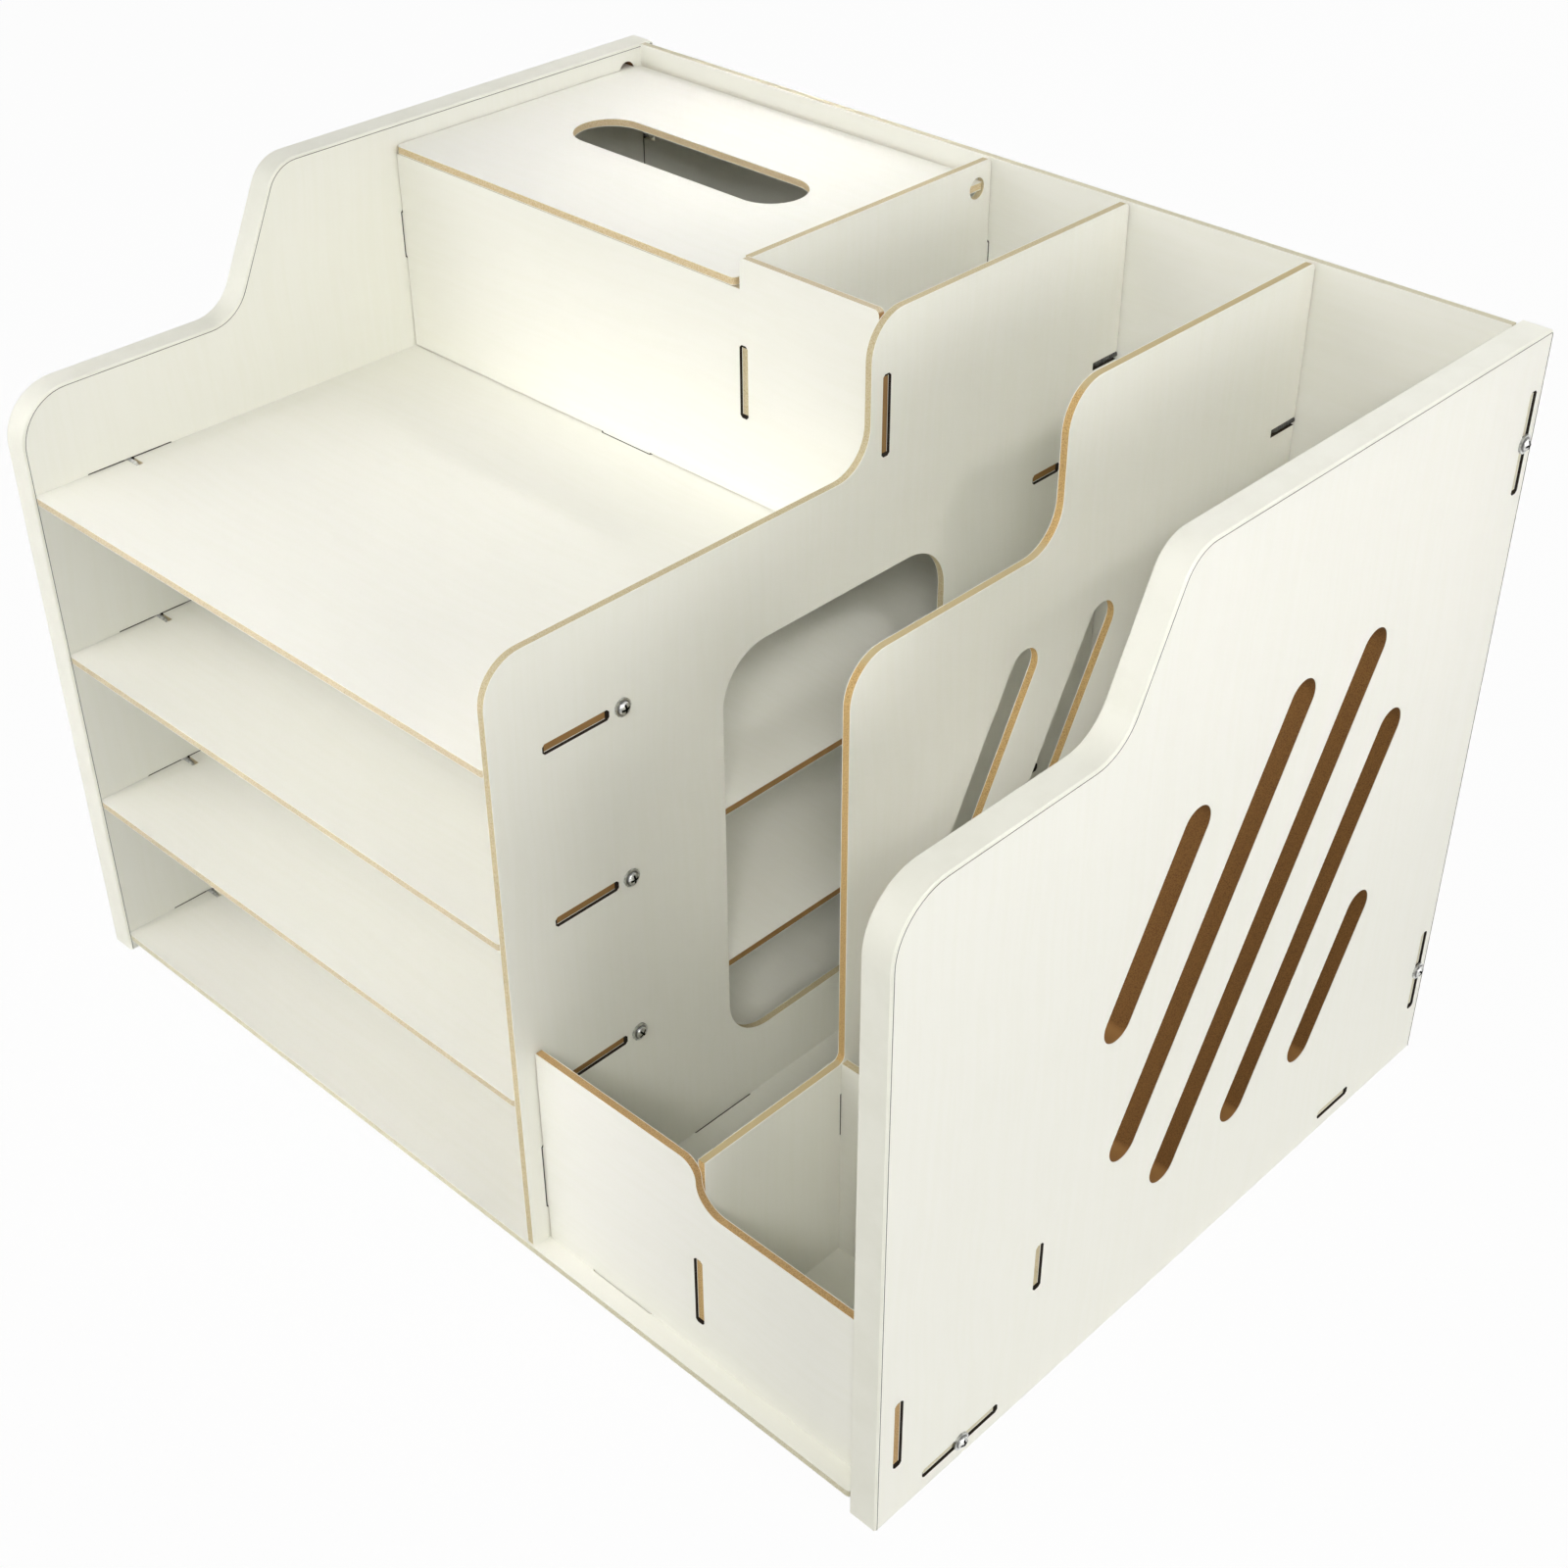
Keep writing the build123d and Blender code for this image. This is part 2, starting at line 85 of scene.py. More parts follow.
class Slot(Enum):
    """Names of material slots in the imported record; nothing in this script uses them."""

    EDGE_BAND = "edge_band"
    SCREW_STEEL = "screw_steel"


def linear(shade: Shade) -> tuple[float, float, float, float]:
    """Turn a display colour into the linear colour that a shader socket takes.

    Args:
        shade: Red, green and blue as seen on screen, each from 0 to 255.

    Returns:
        Linear red, green and blue with full opacity.
    """
    parts = [channel / FULL_CHANNEL for channel in shade]
    red, green, blue = (
        part / SRGB_SLOPE
        if part <= SRGB_KNEE
        else ((part + SRGB_OFFSET) / (1.0 + SRGB_OFFSET)) ** SRGB_POWER
        for part in parts
    )
    return red, green, blue, 1.0


def put(name: str, data: Any) -> bpy.types.Object:
    """Make an object and link it to the scene."""
    made = bpy.data.objects.new(name, data)
    bpy.context.scene.collection.objects.link(made)
    return made


def wear(piece: bpy.types.Object, material: bpy.types.Material) -> None:
    """Make a material the only one on an object."""
    piece.data.materials.clear()
    piece.data.materials.append(material)


@dataclass(frozen=True)
class Speckle:
    """Noise that mottles a finish."""

    scale: float
    detail: float
    roughness: float = 0.6


@dataclass(frozen=True)
class Relief:
    """Bump of a finish, with its depth in metres."""

    depth: float
    strength: float


class Sock:
    """An output socket that adds Math nodes where it stands in a Python expression."""

    def __init__(self, graph: "Graph", socket: bpy.types.NodeSocket) -> None:
        """Keep the socket with the graph that it belongs to."""
        self.graph = graph
        self.socket = socket

    def pick(self, output: Key) -> "Sock":
        """Give another output of the same node."""
        return Sock(self.graph, self.socket.node.outputs[output])

    def math(self, operation: str, *values: "Sock | float") -> "Sock":
        """Add one Math node over the given values."""
        return self.graph.node("ShaderNodeMath", {"operation": operation}, dict(enumerate(values)))

    def __add__(self, other: "Sock | float") -> "Sock":
        """Sum."""
        return self.math("ADD", self, other)

    def __radd__(self, other: float) -> "Sock":
        """Reflected sum."""
        return self.math("ADD", other, self)

    def __sub__(self, other: "Sock | float") -> "Sock":
        """Difference."""
        return self.math("SUBTRACT", self, other)

    def __rsub__(self, other: float) -> "Sock":
        """Reflected difference."""
        return self.math("SUBTRACT", other, self)

    def __mul__(self, other: "Sock | float") -> "Sock":
        """Product."""
        return self.math("MULTIPLY", self, other)

    def __rmul__(self, other: float) -> "Sock":
        """Reflected product."""
        return self.math("MULTIPLY", other, self)

    def __truediv__(self, other: "Sock | float") -> "Sock":
        """Quotient."""
        return self.math("DIVIDE", self, other)

    def __abs__(self) -> "Sock":
        """Size without its sign."""
        return self.math("ABSOLUTE", self)

    def capped(self, most: float) -> "Sock":
        """The smaller of this value and a limit."""
        return self.math("MINIMUM", self, most)

    def floored(self, least: float) -> "Sock":
        """The larger of this value and a limit."""
        return self.math("MAXIMUM", self, least)

    def below(self, limit: "Sock | float") -> "Sock":
        """1 where this value is under a limit, else 0."""
        return self.math("LESS_THAN", self, limit)

    def sine(self) -> "Sock":
        """Sine of this angle."""
        return self.math("SINE", self)

    def cosine(self) -> "Sock":
        """Cosine of this angle."""
        return self.math("COSINE", self)

    def rise(self, low: float, high: float) -> "Sock":
        """Go smoothly from 0 at low to 1 at high."""
        return self.graph.node(
            "ShaderNodeMapRange",
            {"interpolation_type": "SMOOTHSTEP"},
            {"Value": self, "From Min": low, "From Max": high},
        )


class Graph:
    """A node tree that is filled through one node-making method."""

    def __init__(self, tree: bpy.types.NodeTree) -> None:
        """Start from an empty tree."""
        self.tree = tree
        tree.nodes.clear()

    def node(
        self,
        kind: str,
        settings: Optional[Mapping[str, Any]] = None,
        inputs: Optional[Mapping[Key, Any]] = None,
        output: Key = 0,
    ) -> Optional[Sock]:
        """Add one node.

        Args:
            kind: Blender's name for the node type.
            settings: Properties of the node, set before its sockets.
            inputs: Values or links by socket name or number; a list links several.
            output: Name or number of the output that is handed back.

        Returns:
            The chosen output, or None for a node without outputs.
        """
        made = self.tree.nodes.new(kind)
        for name, value in (settings or {}).items():
            setattr(made, name, value)
        for key, value in (inputs or {}).items():
            for source in value if isinstance(value, list) else [value]:
                if isinstance(source, Sock):
                    self.tree.links.new(source.socket, made.inputs[key])
                else:
                    made.inputs[key].default_value = source
        return Sock(self, made.outputs[output]) if made.outputs else None

    def scaled(self, vector: Sock, scale: Point) -> Sock:
        """Multiply a vector by a fixed one, axis by axis."""
        return self.node("ShaderNodeVectorMath", {"operation": "MULTIPLY"}, {0: vector, 1: scale})

    def shifted(self, vector: Sock, shift: "Sock | Point") -> Sock:
        """Add a second vector to a vector."""
        return self.node("ShaderNodeVectorMath", {"operation": "ADD"}, {0: vector, 1: shift})

    def parts(self, vector: Sock, output: Key = 0) -> Sock:
        """Give one part of a vector, whose others are the node's other outputs."""
        return self.node("ShaderNodeSeparateXYZ", None, {0: vector}, output)

    def mixed(self, factor: "Sock | float", under: Any, over: Any) -> Sock:
        """Blend two colours.

        Args:
            factor: Share of the second colour, from 0 to 1.
            under: First colour, as a socket or a linear colour.
            over: Second colour, as a socket or a linear colour.

        Returns:
            The blended colour.
        """
        factor_in, under_in, over_in, colour_out = 0, 6, 7, 2
        inputs = {factor_in: factor, under_in: under, over_in: over}
        return self.node("ShaderNodeMix", {"data_type": "RGBA"}, inputs, colour_out)

    def noise(self, place: Sock, speckle: Speckle) -> Sock:
        """Give a noise value of about 0.5 at a place, whose colour is the node's other output."""
        return self.node(
            "ShaderNodeTexNoise",
            None,
            {
                "Vector": place,
                "Scale": speckle.scale,
                "Detail": speckle.detail,
                "Roughness": speckle.roughness,
            },
        )


class MaterialGraph(Graph):
    """The node tree of one new material."""

    def __init__(self, name: str) -> None:
        """Make the material and empty its tree."""
        self.material = bpy.data.materials.new(name)
        self.material.use_nodes = True
        super().__init__(self.material.node_tree)

    def place(self) -> Sock:
        """Object coordinates, which are metres in the shared frame."""
        return self.node("ShaderNodeTexCoord", output="Object")

    def bumped(self, height: Sock, relief: Relief) -> Sock:
        """A normal that follows a height of 0 to 1 over a relief."""
        return self.node(
            "ShaderNodeBump",
            None,
            {"Height": height, "Distance": relief.depth, "Strength": relief.strength},
        )

    def close(self, shader: Sock) -> bpy.types.Material:
        """Send a shader to the output and hand back the material."""
        self.node("ShaderNodeOutputMaterial", None, {"Surface": shader})
        return self.material

    def surface(self, inputs: Mapping[Key, Any]) -> bpy.types.Material:
        """Close the tree with one Principled shader that has these inputs."""
        return self.close(self.node("ShaderNodeBsdfPrincipled", None, inputs))


class GeometryGraph(Graph):
    """A Geometry Nodes tree with named inputs for its sizes."""

    def __init__(self, name: str, sizes: Mapping[str, float]) -> None:
        """Make the tree, its sockets and its input node.

        Args:
            name: Name of the tree.
            sizes: Name and value of each size that the modifier sets.
        """
        tree = bpy.data.node_groups.new(name, "GeometryNodeTree")
        super().__init__(tree)
        self.sizes = dict(sizes)
        add = tree.interface.new_socket
        add("Geometry", in_out="INPUT", socket_type="NodeSocketGeometry")
        add("Geometry", in_out="OUTPUT", socket_type="NodeSocketGeometry")
        self.identifiers = {
            size: add(size, in_out="INPUT", socket_type="NodeSocketFloat").identifier for size in sizes
        }
        self.start = self.node("NodeGroupInput")

    def size(self, name: str) -> Sock:
        """The named size as a socket."""
        return self.start.pick(name)

    def lathe(
        self, radius: Callable[[Sock], Sock], height: Callable[[Sock], Sock], sides: int, rings: int
    ) -> Sock:
        """Turn a closed solid of revolution about Z.

        Args:
            radius: Gives the radius at a share of the way along the profile.
            height: Gives the height at a share of the way along the profile.
            sides: Facets round the axis.
            rings: Points along the profile.

        Returns:
            The closed mesh.
        """
        width, half, weld = 1.0, 0.5, 0.002 * MM
        sheet = self.node(
            "GeometryNodeMeshGrid",
            None,
            {"Size X": width, "Size Y": width, "Vertices X": sides + 1, "Vertices Y": rings},
        )
        cell = self.parts(self.node("GeometryNodeInputPosition"))
        turn = (cell + half) * -math.tau
        share = cell.pick("Y") + half
        reach = radius(share)
        spot = self.node(
            "ShaderNodeCombineXYZ",
            None,
            {"X": reach * turn.cosine(), "Y": reach * turn.sine(), "Z": height(share)},
        )
        turned = self.node("GeometryNodeSetPosition", None, {"Geometry": sheet, "Position": spot})
        return self.node("GeometryNodeMergeByDistance", None, {"Geometry": turned, "Distance": weld})

    def swept(self, path: Sock, sides: int, radius: Sock) -> Sock:
        """Run a round profile along a path and close its ends."""
        ring = self.node(
            "GeometryNodeCurvePrimitiveCircle", None, {"Resolution": sides, "Radius": radius}
        )
        return self.node(
            "GeometryNodeCurveToMesh", None, {"Curve": path, "Profile Curve": ring, "Fill Caps": True}
        )

    def close(self, geometry: Sock, material: bpy.types.Material) -> None:
        """End the tree in real geometry with its material."""
        real = self.node("GeometryNodeRealizeInstances", None, {"Geometry": geometry})
        dressed = self.node("GeometryNodeSetMaterial", None, {"Geometry": real, "Material": material})
        self.node("NodeGroupOutput", None, {0: dressed})

    def grow(self, seed: bpy.types.Mesh, name: str) -> bpy.types.Object:
        """Run the tree on a mesh and keep the result as a plain object.

        Args:
            seed: Points or edges that the tree starts from.
            name: Name of the finished piece.

        Returns:
            The finished piece, linked to the scene and free of modifiers.
        """
        carrier = put(f"{name}_seed", seed)
        modifier = carrier.modifiers.new(self.tree.name, "NODES")
        modifier.node_group = self.tree
        for size, identifier in self.identifiers.items():
            modifier[identifier] = self.sizes[size]
        depsgraph = bpy.context.evaluated_depsgraph_get()
        mesh = bpy.data.meshes.new_from_object(carrier.evaluated_get(depsgraph))
        carrier.modifiers.remove(modifier)
        bpy.data.objects.remove(carrier)
        return put(name, mesh)


@dataclass(frozen=True)
class Laminate:
    """Pale embossed laminate on both faces of a board, with its core showing on cut edges."""

    face: Shade = (245, 244, 234)
    streak: Shade = (244, 243, 232)
    core: Shade = (205, 193, 158)
    fleck: Shade = (184, 165, 125)
    # Painted shade: the dark colour laid on the walls inside joints and notches.
    crevice_shade: Shade = (34, 23, 11)
    skin: float = 0.24 * MM
    skin_blur: float = 0.06 * MM
    face_roughness: float = 0.42
    core_roughness: float = 0.85
    specular: float = 0.4
    relief: Relief = Relief(0.03 * MM, 0.06)
    fibre: Speckle = Speckle(2600.0, 2.0)
    drift: Speckle = Speckle(11.0, 1.0)
    drift_reach: float = 0.014
    streaks: Speckle = Speckle(1.0, 4.0)
    streaks_across: float = 430.0
    streaks_along: float = 9.0
    streak_range: Range = (0.36, 0.62)
    fleck_range: Range = (0.4, 0.68)
    board_shift: Point = (0.37, 0.53, 0.71)
    wall_slant: float = 0.5

    def coat(self, board: "Board") -> bpy.types.Material:
        """Make the finish for one board.

        Args:
            board: The board, which says where its faces are and how its grain runs.

        Returns:
            The new material.
        """
        graph = MaterialGraph(f"{board.node}_laminate")
        place = graph.place()
        grain = self.grain(graph, place, board)
        face = graph.mixed(grain.rise(*self.streak_range), linear(self.streak), linear(self.face))
        fibre = graph.noise(place, self.fibre)
        skin = self.skin_mask(graph, place, board)
        colour = graph.mixed(skin, self.core_colour(graph, fibre), face)
        # Painted shade darkens the walls inside the board's joints and notches.
        if board.joints:
            hidden = self.crevice_shade_mask(graph, place, board)
            colour = graph.mixed(hidden, colour, linear(self.crevice_shade))
        roughness = self.core_roughness - skin * (self.core_roughness - self.face_roughness)
        height = grain * skin + fibre * (1 - skin)
        return graph.surface(
            {
                "Base Color": colour,
                "Roughness": roughness,
                "Normal": graph.bumped(height, self.relief),
                "Specular IOR Level": self.specular,
            }
        )

    def grain(self, graph: MaterialGraph, place: Sock, board: "Board") -> Sock:
        """Fine wavy streaks that run along the board's grain.

        Args:
            graph: Tree that the nodes go into.
            place: Object coordinates.
            board: The board whose grain it is.

        Returns:
            A value of about 0.5 that varies over the face.
        """
        offset = graph.shifted(place, tuple(board.number * step for step in self.board_shift))
        drift = graph.noise(offset, self.drift).pick("Color")
        waved = graph.shifted(offset, graph.scaled(drift, (self.drift_reach,) * len(Axis)))
        stretch = [self.streaks_across] * len(Axis)
        stretch[board.grain.value] = self.streaks_along
        return graph.noise(graph.scaled(waved, tuple(stretch)), self.streaks)

    def skin_mask(self, graph: MaterialGraph, place: Sock, board: "Board") -> Sock:
        """Tell the laminate from the core by the depth inside the board.

        Args:
            graph: Tree that the nodes go into.
            place: Object coordinates.
            board: The board, with its faces and its thickness.

        Returns:
            1 on the laminate and 0 in the core.
        """
        low, high = board.faces()
        depth = graph.parts(place, board.thick.value)
        inner = (high - low) / 2 - self.skin
        return abs(depth - (low + high) / 2).rise(inner - self.skin_blur, inner + self.skin_blur)

    def crevice_shade_mask(self, graph: MaterialGraph, place: Sock, board: "Board") -> Sock:
        """Pick out the hidden walls of the board's joints, which get painted shade.

        Args:
            graph: Tree that the nodes go into.
            place: Object coordinates.
            board: The board, with its joints.

        Returns:
            1 on a wall inside a joint, else 0.
        """
        spot = graph.parts(place)
        normal = graph.parts(graph.node("ShaderNodeNewGeometry", output="Normal"))
        walls = []
        for joint in board.joints:
            wall = abs(normal.pick(joint.through.value)).below(self.wall_slant)
            for axis, (low, high) in enumerate(zip(joint.low, joint.high)):
                wall = wall * abs(spot.pick(axis) - (low + high) / 2).below((high - low) / 2)
            walls.append(wall)
        return sum(walls[1:], walls[0]).capped(1.0)

    def core_colour(self, graph: MaterialGraph, fibre: Sock) -> Sock:
        """Speckled fibreboard."""
        return graph.mixed(fibre.rise(*self.fleck_range), linear(self.core), linear(self.fleck))


@dataclass(frozen=True)
class FacetLaminate(Laminate):
    """Laminate whose core has another colour on the cut edges that face one way; on some boards that
    colour is painted light and shade, on others the edge's own tone.
    """

    core: Shade = (210, 198, 169)
    fleck: Shade = (188, 169, 133)
    # Default facet colour is painted shade on tab ends that stand in a slot.
    facet_tone_and_painted_light: Shade = (150, 113, 66)
    facet_range: Range = (0.7, 0.95)
    facing: Axis = Axis.X

    def core_colour(self, graph: MaterialGraph, fibre: Sock) -> Sock:
        """Fibreboard with its facets picked out."""
        plain = super().core_colour(graph, fibre)
        normal = graph.node("ShaderNodeNewGeometry", output="Normal")
        toward = graph.parts(normal, self.facing.value)
        return graph.mixed(toward.rise(*self.facet_range), plain, linear(self.facet_tone_and_painted_light))


@dataclass(frozen=True)
class ScorchedLaminate(FacetLaminate):
    """Thick side-panel laminate whose routed slots are scorched brown, with painted light making them
    paler where they face up.
    """

    core: Shade = (132, 92, 44)
    fleck: Shade = (106, 70, 30)
    # Painted light: slot faces that face up are paler.
    facet_tone_and_painted_light: Shade = (160, 116, 64)
    facing: Axis = Axis.Z
    skin: float = 0.2 * MM


@dataclass(frozen=True)
class BandPlastic:
    """Smooth edge band glued round a side panel."""

    base: Shade = (243, 242, 229)
    cloud: Shade = (239, 238, 224)
    clouds: Speckle = Speckle(60.0, 4.0)
    cloud_range: Range = (0.35, 0.7)
    pebbles: Speckle = Speckle(2200.0, 1.0)
    relief: Relief = Relief(0.05 * MM, 0.2)
    roughness: float = 0.38
    roughness_spread: float = 0.1
    specular: float = 0.45

    def coat(self) -> bpy.types.Material:
        """Make the band's material."""
        graph = MaterialGraph("edge_band_plastic")
        place = graph.place()
        cloud = graph.noise(place, self.clouds).rise(*self.cloud_range)
        pebble = graph.noise(place, self.pebbles)
        return graph.surface(
            {
                "Base Color": graph.mixed(cloud, linear(self.base), linear(self.cloud)),
                "Roughness": self.roughness + self.roughness_spread * pebble,
                "Normal": graph.bumped(pebble, self.relief),
                "Specular IOR Level": self.specular,
            }
        )


@dataclass(frozen=True)
class SeamGlue:
    """Grey glue line that shows between a band and the laminate."""

    base: Shade = (84, 82, 76)
    dust: Shade = (118, 115, 106)
    specks: Speckle = Speckle(140.0, 3.0)
    dust_range: Range = (0.4, 0.65)
    roughness: float = 0.7
    roughness_spread: float = 0.2

    def coat(self) -> bpy.types.Material:
        """Make the seam's material."""
        graph = MaterialGraph("seam_glue")
        dust = graph.noise(graph.place(), self.specks)
        dusty = dust.rise(*self.dust_range)
        return graph.surface(
            {
                "Base Color": graph.mixed(dusty, linear(self.base), linear(self.dust)),
                "Roughness": self.roughness + self.roughness_spread * dust,
            }
        )


@dataclass(frozen=True)
class BrightZinc:
    """Bright zinc plate on the screws, darkened by painted shade where a mesh attribute asks for it."""

    bright: Shade = (228, 228, 225)
    dull: Shade = (156, 156, 153)
    # Painted shade colour for the recess, the rim, the crease ring and the notches.
    painted_shade_colour: Shade = (30, 29, 27)
    spangles: Speckle = Speckle(700.0, 3.0)
    dull_range: Range = (0.4, 0.7)
    relief: Relief = Relief(0.03 * MM, 0.2)
    roughness: float = 0.2
    roughness_spread: float = 0.22

    def coat(self, shade_name: str) -> bpy.types.Material:
        """Make the plated steel.

        Args:
            shade_name: Mesh attribute that says how strongly painted shade darkens the plate, from 0 to
                1.

        Returns:
            The new material.
        """
        graph = MaterialGraph("bright_zinc")
        spangle = graph.noise(graph.place(), self.spangles)
        plate = graph.mixed(spangle.rise(*self.dull_range), linear(self.bright), linear(self.dull))
        # How much painted shade darkens the plate here.
        shade = graph.node("ShaderNodeAttribute", {"attribute_name": shade_name}, output="Fac")
        return graph.surface(
            {
                "Base Color": graph.mixed(shade, plate, linear(self.painted_shade_colour)),
                "Metallic": 1.0,
                "Roughness": self.roughness + self.roughness_spread * spangle,
                "Normal": graph.bumped(spangle, self.relief),
            }
        )


@dataclass(frozen=True)
class Joint:
    """The room where a tab or a screw stands in a board's slot."""

    low: Vector
    high: Vector
    through: Axis

    def holds(self, spot: Vector) -> bool:
        """Tell whether a place lies in the room."""
        return all(low < part < high for low, part, high in zip(self.low, spot, self.high))


@dataclass
class Board:
    """One CAD board: which way it is thick, which way its grain runs and where other boards cross it."""

    node: str
    thick: Axis
    grain: Axis
    number: int
    joints: list[Joint] = field(default_factory=list)

    def faces(self) -> tuple[float, float]:
        """Places of the two faces along the board's thickness."""
        low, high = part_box(self.node)
        return low[self.thick.value], high[self.thick.value]

    def takes(self, other: "Board") -> Optional[Joint]:
        """Find the slot of this board that another board's tab stands in.

        Args:
            other: The board with the tab.

        Returns:
            The room of the joint, a little wider than the tab and clear of the boards' ends, or None.
        """
        side, end, margin = 0.7 * MM, 1.6 * MM, 1.0 * MM
        low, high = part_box(self.node)
        other_low, other_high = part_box(other.node)
        across, through = other.thick.value, self.thick.value
        if across == through:
            return None
        if low[across] > other_low[across] - margin or high[across] < other_high[across] + margin:
            return None
        (along,) = {axis.value for axis in Axis} - {across, through}
        corners = [vertex.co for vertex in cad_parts[other.node].data.vertices]
        tab = [corner[along] for corner in corners if low[through] < corner[through] < high[through]]
        tab = [place for place in tab if low[along] < place < high[along]]
        if not tab:
            return None
        start, stop = low.copy(), high.copy()
        start[across], stop[across] = other_low[across] - side, other_high[across] + side
        start[along], stop[along] = min(tab) - end, max(tab) + end
        return Joint(start, stop, self.thick)

    def dress(self, laminate: Laminate) -> None:
        """Put a laminate on the board."""
        wear(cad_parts[self.node], laminate.coat(self))
        log.info("%s: laminate on a board that is thick along %s", self.node, self.thick.name)


def find_joints(boards: list[Board]) -> None:
    """Tell every fixed board where its tabs and open slots are.

    Args:
        boards: All boards; the hinged lid and the closed joint under the pen box are passed over.
    """
    lid, closed = "tissue_lid", ("base_panel", "pen_box_front")
    fixed = [board for board in boards if board.node != lid]
    for slotted in fixed:
        for tabbed in fixed:
            joint = slotted.takes(tabbed)
            if joint and (slotted.node, tabbed.node) != closed:
                slotted.joints.append(joint)
                tabbed.joints.append(joint)


def special_finishes() -> dict[str, Laminate]:
    """Give the finishes of the thin boards whose cut edges differ from the rest.

    Returns:
        The finish of each such board by its node.
    """
    # Painted shade: the +X tab ends of the shelves and the tissue front, which stand in the centre
    # divider's slots, are dark brown.
    shaded_tab_ends = FacetLaminate()
    pale_edged = Laminate(core=(222, 218, 194), fleck=(203, 193, 159))
    return {
        "lower_shelf": shaded_tab_ends,
        "middle_shelf": shaded_tab_ends,
        "top_shelf": FacetLaminate(core=(219, 206, 176), fleck=(196, 176, 139)),
        "tissue_front": shaded_tab_ends,
        "tissue_lid": Laminate(core=(221, 203, 164), fleck=(199, 173, 128)),
        "back_panel": pale_edged,
        "base_panel": pale_edged,
        "pen_box_front": Laminate(core=(193, 160, 108), fleck=(160, 125, 79)),
        "file_divider": FacetLaminate(
            core=(208, 175, 116), fleck=(173, 138, 85), facet_tone_and_painted_light=(194, 176, 133), facing=Axis.Z
        ),
    }


@dataclass
class ThinBoards:
    """The thin boards that slot into each other: floor, shelves, dividers, fronts, back and lid."""

    level: tuple[str, ...] = ("base_panel", "lower_shelf", "middle_shelf", "top_shelf", "tissue_lid")
    upright: tuple[str, ...] = ("center_divider", "file_divider", "tissue_divider")
    crosswise: tuple[str, ...] = ("tissue_front", "pen_box_front", "pen_box_rear", "back_panel")
    first_number: int = 1
    finish: Laminate = field(default_factory=Laminate)
    special: Mapping[str, Laminate] = field(default_factory=special_finishes)

    def boards(self) -> list[Board]:
        """List every thin board with its thickness and grain."""
        plan = [(node, Axis.Z, Axis.X) for node in self.level]
        plan += [(node, Axis.X, Axis.Z) for node in self.upright]
        plan += [(node, Axis.Y, Axis.X) for node in self.crosswise]
        return [Board(*row, number) for number, row in enumerate(plan, start=self.first_number)]

    def dress(self, boards: list[Board]) -> None:
        """Put the thin laminate on every board, with the core that its cut edges show."""
        for board in boards:
            board.dress(self.special.get(board.node, self.finish))


@dataclass
class SidePanels:
    """The two thick side panels, their edge bands and the glue seams between them."""

    panels: tuple[str, str] = ("left_side_panel", "right_side_panel")
    bands: tuple[str, str] = ("left_edge_band", "right_edge_band")
    first_number: int = 21
    seam_radius: float = 0.13 * MM
    seam_sides: int = 6
    finish: ScorchedLaminate = field(default_factory=ScorchedLaminate)
    band_finish: BandPlastic = field(default_factory=BandPlastic)
    seam_finish: SeamGlue = field(default_factory=SeamGlue)

    def boards(self) -> list[Board]:
        """List the two panels as boards."""
        numbered = enumerate(self.panels, start=self.first_number)
        return [Board(node, Axis.X, Axis.Z, number) for number, node in numbered]

    def dress(self, boards: list[Board]) -> None:
        """Put the laminate on the panels and the plastic on their bands."""
        for board in boards:
            board.dress(self.finish)
        plastic = self.band_finish.coat()
        for node in self.bands:
            wear(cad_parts[node], plastic)
            log.info("%s: smooth band plastic", node)

    def lay_seams(self) -> bpy.types.Object:
        """Lay a fine glue seam along both rims of each band.

        Returns:
            The finished seams as one piece.
        """
        graph = GeometryGraph("glue_seams", {"Seam radius": self.seam_radius})
        path = graph.node("GeometryNodeMeshToCurve", None, {"Mesh": graph.start})
        seam = graph.swept(path, self.seam_sides, graph.size("Seam radius"))
        graph.close(seam, self.seam_finish.coat())
        seams = graph.grow(self.seam_paths(), "band_glue_seams")
        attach(seams, "carcass")
        log.info("%s: %d faces", seams.name, len(seams.data.polygons))
        return seams

    def seam_paths(self) -> bpy.types.Mesh:
        """Read the outlines of the panels' faces from the CAD meshes.

        Returns:
            A mesh of edges, one open line for each face of each panel.
        """
        points: list[Vector] = []
        edges: list[tuple[int, int]] = []
        for node in self.panels:
            low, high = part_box(node)
            for face in (low.x, high.x):
                line = outline_of_face(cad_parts[node].data, face, low.z)
                first = len(points)
                points += line
                edges += [(first + step, first + step + 1) for step in range(len(line) - 1)]
        mesh = bpy.data.meshes.new("seam_paths")
        mesh.from_pydata(points, edges, [])
        return mesh


